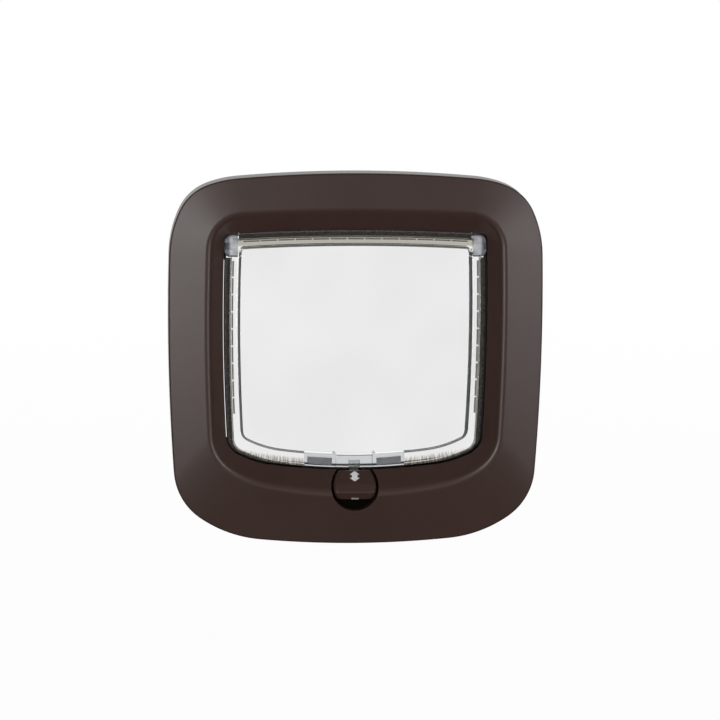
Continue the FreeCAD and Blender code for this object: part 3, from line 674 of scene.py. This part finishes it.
def groove_cells():
    """Cells of the ribbed groove as one tool; their dark floors become a piece."""
    gap = 9.9
    pitch = 10.9
    cells = []
    lines = []

    def cell(path):
        for found, section in ((lines, ((-1.45, 0.93), (-2.35, 0.93), (-2.35, 1.05), (-1.45, 1.05))),
                               (cells, ((-0.8, -1.0), (-3.0, -1.0), (-2.2, 1.0), (-1.6, 1.0)))):
            loops = [[(x + math.sin(a) * d, flap_front_y + y, z + math.cos(a) * d) for d, y in section]
                     for x, z, a in path]
            found.append(skin(loops, False, "tool", True, True))

    top, top_length = edge_points(rim, 0, lambda x, z: z > rim_top_z - 6 and x < cap_inner_x)
    for k in range(-6, 7):
        ends = sorted((abs(k * pitch - gap / 2), abs(k * pitch + gap / 2)))
        if k == 0:
            end_z = rim.ceiling(gap / 2)
            path = [(-gap / 2, end_z, 0.0), (0, rim_top_z, 0.0), (gap / 2, end_z, 0.0)]
        else:
            path = [at_length(top, top_length, ends[0] + (ends[1] - ends[0]) * i / 4) for i in range(5)]
            if k < 0:
                path = [(-x, z, -a) for x, z, a in reversed(path)]
        cell(path)
    side, side_length = edge_points(rim, 0, lambda x, z: x > 40 and z < hinge_z - hinge_cap_radius - 1.0)
    for k in range(9):
        path = [at_length(side, side_length, k * pitch + gap * i / 4) for i in range(5)]
        cell(path)
        cell([(-x, z, -a) for x, z, a in path])
    piece(gathered(*lines), "groove_lines", "flap", groove_grey, "clear_plastic")
    return gathered(*cells)


def make_flap():
    pane_front = hinge_y - 1.0
    pane_rear = hinge_y + 1.0
    hem = 0.35
    front = [(rim, hem * (1 - math.sin(a)), flap_front_y + hem * (1 - math.cos(a)))
             for a in quarter(3)]
    back = [(rim, hem * (1 - math.cos(a)), flap_rear_y - hem * (1 - math.sin(a)))
            for a in quarter(3)]
    stations = [
        (window, 0.5, pane_front), (window, 0.12, pane_front - 0.12), (window, 0, pane_front - 0.5),
        (window_front, 0.05, flap_front_y + 0.5), (window_front, -0.1, flap_front_y + 0.12),
        (window_front, -0.5, flap_front_y), *front,
        (rim, 0, hinge_y - 2.5), (rim, seal_channel_depth, hinge_y - 2.5),
        (rim, seal_channel_depth, hinge_y + 2.5), (rim, 0, hinge_y + 2.5), *back,
        (window, -window_draft - 0.5, flap_rear_y), (window, -window_draft - 0.1, flap_rear_y - 0.12),
        (window, -window_draft + 0.05, flap_rear_y - 0.5), (window, 0, pane_rear + 0.5),
        (window, 0.12, pane_rear + 0.12), (window, 0.5, pane_rear)]
    body = skin([outline.loop(inset, y) for outline, inset, y in stations], False, "tool", True, True)
    past_x = 90
    seats = [rod(hinge_cap_radius + 0.03, (side * cap_inner_x, hinge_y, hinge_z), (side * past_x, hinge_y, hinge_z), 96)
             for side in (-1, 1)]
    corners = [block(x0, x1, flap_front_y - 1, flap_rear_y + 1, hinge_z, opening_top)
               for x0, x1 in ((-past_x, -cap_inner_x), (cap_inner_x, past_x))]
    carve(body, "DIFFERENCE", groove_cells(), gathered(*seats), gathered(*corners), holder_zone(0.04))
    shade(body)
    return piece(body, "flap_moulding", "flap", rim_clear, "clear_plastic", "flap_rim", "flap_pane")


def tilted_magnet(side, grow, rear_y):
    bottom = rim.floor(magnet_offset) + 1.3
    half = magnet_length / 2 + grow
    bar = block(-half, half, hinge_y - 2.5 - grow, rear_y, -grow, magnet_height + grow)
    bar.data.transform(Matrix.Translation(Vector((side * magnet_offset, 0, bottom)) * MM)
                       @ Matrix.Rotation(math.radians(-side * magnet_tilt), 4, "Y"))
    return bar


def make_holder():
    half = holder_middle / 2
    part = 0.02
    zones = {"catch_block": (-half + part, half - part), "magnet_pod_left": (-40, -half - part),
             "magnet_pod_right": (half + part, 40)}
    for name, (x0, x1) in zones.items():
        body = holder_zone(0.0)
        carve(body, "INTERSECT", block(x0, x1, flap_front_y - 5, flap_rear_y + 5, -90, -40))
        if name == "catch_block":
            carve(body, "DIFFERENCE", block(-notch_width / 2, notch_width / 2, hinge_y - 2.3,
                                            hinge_y + 2.3, sill_z - 2, rim_bottom_z + notch_height))
        else:
            side = -1 if name.endswith("left") else 1
            carve(body, "DIFFERENCE", tilted_magnet(side, 0.08, flap_rear_y + 3))
        soften(body, 0.3, 2)
        shade(body)
        piece(body, name + "_clear", "flap", holder_clear, "clear_plastic", name)
    for side, name in ((-1, "flap_magnet_left"), (1, "flap_magnet_right")):
        bar = tilted_magnet(side, 0.0, hinge_y + 2.5)
        soften(bar, 0.35, 3)
        shade(bar)
        piece(bar, name + "_bar", "flap", magnet, "magnet_grey", name)


def make_caps():
    for side, tag in ((-1, "left"), (1, "right")):
        length = hinge_cap_width
        soft = 3.4
        profile = [(0.0, 6.5), (0.01, 6.7), (0.04, hinge_cap_radius)]
        profile += [(1 - soft / length * (1 - math.sin(a)), hinge_cap_radius - soft * (1 - math.cos(a)))
                    for a in quarter(10)]
        body = turned(profile, (side * cap_inner_x, hinge_y, hinge_z), (side * cap_outer_x, hinge_y, hinge_z), 96)
        carve(body, "DIFFERENCE",
              rod(3.55, (side * (cap_inner_x - 1), hinge_y, hinge_z), (side * (cap_inner_x + 3), hinge_y, hinge_z), 48),
              rod(1.55, (side * cap_inner_x, hinge_y, hinge_z), (side * (cap_outer_x + 1), hinge_y, hinge_z), 48))
        shade(body)
        piece(body, "hinge_cap_" + tag + "_clear", "flap", cap_clear, "clear_plastic", "hinge_cap_" + tag)
        start = cap_outer_x - 3.9
        pin = turned([(0, 1.2), (0.03, 1.5), (0.97, 1.5), (1, 1.2)], (side * start, hinge_y, hinge_z),
                     (side * (opening.reach(hinge_z) + 6.6), hinge_y, hinge_z), 40)
        shade(pin)
        piece(pin, "hinge_pin_" + tag + "_steel", "frame", steel, "bright_steel", "hinge_pin_" + tag)

        # Painted shade: a flat black sheet around the hinge corner fills the gap to the tunnel, where only shadow
        # shows.
        angles = [math.radians(v) for v in range(0, 91, 6)]
        top_z = hinge_z + hinge_cap_radius
        low_z = hinge_z - hinge_cap_radius - 2
        inset = 0.12
        turn_r = 3.4
        right = opening.reach(hinge_z) - inset
        high = opening.ceiling(cap_inner_x) - inset
        outer = [(cap_inner_x - 0.6, high)]
        outer += [(right - turn_r + turn_r * math.sin(a), high - turn_r + turn_r * math.cos(a)) for a in angles]
        outer.append((opening.reach(low_z) - inset, low_z))
        inner = [(cap_outer_x - 1.2, low_z), (cap_outer_x - 1.2, top_z - 3.0),
                 (cap_outer_x - 3.4, top_z - 0.8), (cap_inner_x - 0.6, top_z - 0.8)]
        flat = [(side * x, z) for x, z in outer + inner]
        lip = skin([[(x, hinge_y + y, z) for x, z in flat] for y in (1.9, 2.2)], False, "tool", True, True)
        piece(lip, "corner_gap_shade_" + tag, "flap", black, "seal_pile")


def seal_gap(heading):
    """Distance from the rim to the opening where the rim faces the given way."""
    return float(np.interp(abs(heading), gap_headings, gap_sizes))


def pile_strip(points, length, tag, node, both_ways, seed):
    """Backing, thousands of short bristles, a thin fin and a black sheet of painted shade along one stretch of the rim.
    """
    dice = random.Random(seed)
    verts, faces = [], []
    total = length[-1]
    stretch = [at_length(points, length, total * i / 160) for i in range(161)]
    if both_ways:
        stretch = [(-x, z, -a) for x, z, a in reversed(stretch)] + stretch[1:]
    loops = [[(x + math.sin(a) * d, hinge_y + o, z + math.cos(a) * d)
              for d, o in ((-0.97, -2.4), (-0.02, -2.4), (-0.02, 2.4), (-0.97, 2.4))] for x, z, a in stretch]
    backing = skin(loops, False, "tool", True, True)
    piece(backing, "seal_backing_" + tag, "flap", webbing, "seal_pile")
    count = int(total / 0.42)
    sides = (-1, 1) if both_ways else (1,)
    for i in range(count):
        for row in range(9):
            for side in sides:
                x, z, a = at_length(points, length, (i + dice.random()) * total / count)
                y = hinge_y - 1.8 + 3.6 * (row + dice.random()) / 9
                tall = tuft_reach * seal_gap(a) * (1 + dice.uniform(-0.2, 0.12) - 0.2 * abs(y - hinge_y) / 1.8)
                lean = dice.uniform(-0.3, 0.3)
                out = Vector((math.sin(a), 0, math.cos(a)))
                along = Vector((math.cos(a), 0, -math.sin(a)))
                base = Vector((x, y, z)) - out * 0.1
                tip = Vector((x, y + dice.uniform(-0.25, 0.25), z)) + out * tall + along * lean
                first = len(verts)
                for k in range(3):
                    b = 2 * math.pi * k / 3 + i
                    around = along * math.cos(b) + Vector((0, 1, 0)) * math.sin(b)
                    p = base + around * 0.17
                    verts.append((side * p.x, p.y, p.z))
                    p = tip + around * 0.07
                    verts.append((side * p.x, p.y, p.z))
                faces += [(first, first + 2, first + 3, first + 1), (first + 2, first + 4, first + 5, first + 3),
                          (first + 4, first, first + 1, first + 5), (first + 1, first + 3, first + 5)]
    tufts = mesh_from(verts, faces)
    piece(tufts, "seal_pile_" + tag, "flap", pile, "seal_pile", node)
    # Painted shade: a thin black sheet behind the pile, across most of the gap to the tunnel, standing in for the
    # shadow there.
    loops = [[(x + math.sin(a) * d, y, z + math.cos(a) * d)
              for d, y in ((-0.1, hinge_y + 1.95), (shade_sheet_reach * seal_gap(a), hinge_y + 2.0),
                           (shade_sheet_reach * seal_gap(a), hinge_y + 2.15), (-0.1, hinge_y + 2.3))]
             for x, z, a in stretch]
    piece(skin(loops, False, "tool", True, True), "seal_gap_shade_" + tag, "flap", black, "seal_pile")
    loops = []
    for k, (x, z, a) in enumerate(stretch):
        wave = 0.05 * math.sin(k * 0.9) + 0.03 * math.sin(k * 2.3)
        tip = fin_reach * seal_gap(a) + wave
        loops.append([(x + math.sin(a) * d, hinge_y + o + (wave if d > 0 else 0), z + math.cos(a) * d)
                      for d, o in ((-0.02, -0.15), (tip, -0.06), (tip, 0.06), (-0.02, 0.15))])
    fin = skin(loops, False, "tool", True, True)
    shade(fin, 60)
    piece(fin, "seal_fin_" + tag, "flap", film, "seal_pile")


def make_seals():
    top, top_length = edge_points(rim, 0, lambda x, z: z > rim_top_z - 6 and x < cap_inner_x - 0.4)
    pile_strip(top, top_length, "top", "brush_strip_top", True, 3)
    high_z = hinge_z - hinge_cap_radius - 0.4
    side, side_length = edge_points(rim, 0, lambda x, z: z < high_z and x > holder_width / 2 + 0.4)
    pile_strip(side, side_length, "right", "brush_strip_right", False, 5)
    flipped = [(-x, z, -a) for x, z, a in side]
    pile_strip(flipped, side_length, "left", "brush_strip_left", False, 8)


def knob_front(z):
    """Depth of the knob's front at a height, from its filleted side profile."""
    floor_y = flap_front_y - 0.3
    top = knob_top_z
    stops = [(top, floor_y - 1.9), (top - 7.4, floor_y - 7.4), (top - 12.7, floor_y - 9.9),
             (top - 18.0, floor_y - 7.6)]
    zs = [s[0] for s in stops]
    ys = [s[1] for s in stops]
    total = 0.0
    reach = 1.0
    for k in range(-4, 5):
        total += float(np.interp(-(z + reach * k / 4), [-v for v in zs], ys)) * (5 - abs(k))
    return total / 25


def knob_undercut(lift, next_lift):
    """What the knob's back loses so that its sides pass over the recess slope between two heights."""
    lean = recess_depth / recess_flare_bottom
    high_z, low_z = sill_z + 1.0, latch_z - latch_travel
    rear_y = opening_y + recess_depth
    corners = [(opening_y - lean * (sill_z - z) + lean * lift - slide_gap, z) for z in (high_z, low_z)]
    corners += [(rear_y, low_z), (rear_y, high_z)]
    sides = (-pocket_radius, pocket_radius)
    behind = skin([[(x, y, z) for y, z in corners] for x in sides], False, "tool", True, True)
    kept_z = latch_z - next_lift
    return carve(behind, "DIFFERENCE",
                 rod(pocket_radius - slide_gap, (0, ridge_y - recess_depth, kept_z), (0, rear_y + 0.01, kept_z), 96))


def make_latch():
    floor_y = flap_front_y - 0.3
    radius = knob_radius
    soft = 2.4
    rings = [radius * k / 26 for k in range(1, 27)]
    rings = [r for r in rings if r < radius - soft]
    rings += [radius - soft * (1 - math.sin(a)) for a in quarter(7)]
    sides = 144
    points = [(0, knob_front(latch_z), latch_z)]
    for r in rings:
        drop = soft - math.sqrt(max(soft ** 2 - max(r - (radius - soft), 0) ** 2, 0))
        for k in range(sides):
            a = 2 * math.pi * k / sides
            x, z = r * math.sin(a), latch_z + r * math.cos(a)
            points.append((x, min(knob_front(z) + drop, floor_y - 0.4), z))
    for k in range(sides):
        a = 2 * math.pi * k / sides
        points.append((radius * math.sin(a), floor_y, latch_z + radius * math.cos(a)))
    faces = [(0, 1 + (k + 1) % sides, 1 + k) for k in range(sides)]
    for m in range(len(rings)):
        a = 1 + m * sides
        faces += [(a + k, a + (k + 1) % sides, a + sides + (k + 1) % sides, a + sides + k) for k in range(sides)]
    last = 1 + len(rings) * sides
    faces.append(tuple(range(last, last + sides)))
    knob = mesh_from(points, faces)
    top_z = knob_top_z
    scoop_radius = 7.0
    scoop_axis = (floor_y - 3.2, top_z - 22.2)
    carve(knob, "DIFFERENCE", block(-20, 20, -30, 0, top_z, top_z + 20),
          rod(scoop_radius, (-20, *scoop_axis), (20, *scoop_axis), 96))
    soften(knob, 0.35, 3, 40)
    undercuts = [knob_undercut(latch_travel * k / 5, latch_travel * (k + 1) / 5) for k in range(5)]
    carve(knob, "DIFFERENCE", *undercuts)
    rear_y = -4.5
    front_y = -7.5
    half = tongue_width / 2
    carve(knob, "UNION", block(-half, half, floor_y - 0.5, front_y + 0.5, web_top_z - 4.2, web_top_z))
    carve(knob, "UNION", block(-half, half, front_y, rear_y, top_z - 16.5, top_z))
    carve(knob, "UNION", block(-7.8, 7.8, front_y, rear_y, top_z - 16.5, top_z - 8.5))
    shade(knob, 34)
    # The knob's brown paints shadow on its foot below the scoop line.
    piece(knob, "latch_knob", "latch", brown, "brown_plastic", "latch_slider")

    def laid(outline, lift):
        """Flat sign laid on the knob's sloping front."""
        front = [(x, knob_front(z) - lift, z) for x, z in outline]
        back = [(x, knob_front(z) + 0.3, z) for x, z in outline]
        return skin([front, back], False, "tool", True, True)

    top, low = -72.05, -77.45
    wing, stem, tip, head = 3.2, 1.8, 0.5, 1.85
    right = [(tip, top), (wing, top - head), (stem, top - head), (stem, low + head), (wing, low + head), (tip, low)]
    arrow = right + [(-x, z) for x, z in reversed(right)]
    piece(laid(arrow, 0.06), "slide_sign", "latch", arrow_white, "brown_plastic")
    # A thin raised bar on the knob's lower lip; its pale grey is a painted highlight for a small glint there.
    bar_half, bar_top, bar_low = 2.4, -87.8, -88.9
    bar = laid([(-bar_half, bar_top), (bar_half, bar_top), (bar_half, bar_low), (-bar_half, bar_low)], 0.1)
    piece(bar, "slide_painted_highlight", "latch", painted_highlight_grey, "brown_plastic")


def make_rest():
    """Small CAD pieces that keep their shape, and the screws with their cross recesses."""
    for name, finish in (("frame_magnet_left", magnet), ("frame_magnet_right", magnet), ("latch_keeper", black),
                         ("keeper_screws", steel), ("latch_spring", steel)):
        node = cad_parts[name]
        node.data.materials.clear()
        node.data.materials.append(finish)
    parts = []
    for x, z in screw_places():
        shank = turned([(0, 0.6), (0.06, 1.3), (0.12, 1.7), (1, 1.75)], (x, -11, z), (x, 13.2, z), 32)
        head = turned([(0, 3.5), (0.05, 3.6), (0.45, 3.55), (0.75, 3.1), (0.93, 2.2), (1, 1.2)],
                      (x, 13.0, z), (x, 15.2, z), 48)
        slots = [block(x - across, x + across, 14.0, 16, z - along, z + along)
                 for across, along in ((2.0, 0.42), (0.42, 2.0))]
        carve(slots[0], "UNION", slots[1])
        carve(head, "DIFFERENCE", slots[0])
        parts += [shank, head]
    screws = gathered(*parts)
    shade(screws, 30)
    piece(screws, "cross_head_screws", "frame", steel, "bright_steel", "frame_screws")


make_indoor_frame()
make_outdoor_frame()
make_flap()
make_holder()
make_caps()
make_seals()
make_latch()
make_rest()


def lamp(name, size, power, place, target):
    light = bpy.data.lights.new(name, "AREA")
    light.shape = "RECTANGLE"
    light.size, light.size_y = size
    light.energy = power
    holder = bpy.data.objects.new(name, light)
    holder.location = place
    holder.rotation_euler = (Vector(target) - Vector(place)).to_track_quat("-Z", "Y").to_euler()
    bpy.context.scene.collection.objects.link(holder)


def make_studio():
    scene = bpy.context.scene
    scene.view_settings.view_transform = "Standard"
    for name, azimuth, elevation, size, strength in (
            ("tall_left", -18, 0, (0.25, 1.2), 13.6), ("tall_right", 28, 0, (0.25, 1.2), 10.8)):
        turn, lift = math.radians(azimuth), math.radians(elevation)
        place = Vector((math.sin(turn) * math.cos(lift), -math.cos(turn) * math.cos(lift), math.sin(lift))) * 1.9
        lamp(name, size, strength * math.pi * size[0] * size[1], place, (0, 0, 0))

    sky = Finish("studio", bpy.data.worlds)
    scene.world = sky.material
    way = sky.split(sky.node("ShaderNodeTexCoord", out="Generated"), "Y")
    behind = sky.clamp(way, -0.1, 0.3)
    seen = sky.ray("Camera") + sky.ray("Transmission") + sky.ray("Glossy") * behind
    strength = sky.clamp(seen, 0, 1, 0.15, 1.0)
    sky.finish(sky.node("ShaderNodeBackground", {}, {"Color": (1, 1, 1, 1), "Strength": strength}),
               "ShaderNodeOutputWorld")

    reach, low = 4000, -300
    floor = mesh_from([(-reach, -reach, low), (reach, -reach, low), (reach, reach, low), (-reach, reach, low)],
                      [(0, 1, 2, 3)], "floor")
    pale = Finish("pale_floor")
    lit = pale.node("ShaderNodeBsdfDiffuse", {}, {"Color": (0.9, 0.9, 0.9, 1)})
    glow = pale.node("ShaderNodeEmission", {}, {"Color": (1, 1, 1, 1), "Strength": 1.0})
    far = pale.node("ShaderNodeVectorMath", {"operation": "LENGTH"}, {0: pale.place}, "Value")
    behind = pale.clamp(pale.split(pale.place, "Y"), 0.0, 0.5)
    seen = pale.ray("Camera") + pale.ray("Transmission") + pale.ray("Glossy") * behind
    shader = pale.node("ShaderNodeMixShader", {}, {0: seen * pale.clamp(far, 0.6, 2.5, 0.97, 1.0), 1: lit, 2: glow})
    dim = pale.node("ShaderNodeEmission", {}, {"Color": (0.05, 0.05, 0.05, 1), "Strength": 1.0})
    mirrored = pale.ray("Glossy") * (1 - pale.ray("Transmission"))
    shader = pale.node("ShaderNodeMixShader", {}, {0: mirrored * (1 - behind), 1: shader, 2: dim})
    pale.finish(shader)
    floor.data.materials.append(pale.material)

    target = Vector((0.0026, -0.017, -0.0001))
    azimuth, elevation, roll = math.radians(-4.2), math.radians(9.0), math.radians(0.45)
    distance = 2.2
    camera = bpy.data.objects.new("camera", bpy.data.cameras.new("camera"))
    camera.data.lens = 175.4
    camera.data.sensor_width = 36
    away = Vector((math.sin(azimuth) * math.cos(elevation), -math.cos(azimuth) * math.cos(elevation),
                   math.sin(elevation)))
    camera.location = target + away * distance
    aim = (-away).to_track_quat("-Z", "Y") @ Quaternion((0, 0, 1), roll)
    camera.rotation_euler = aim.to_euler()
    camera.data.clip_end = 50
    scene.collection.objects.link(camera)
    scene.camera = camera


make_studio()
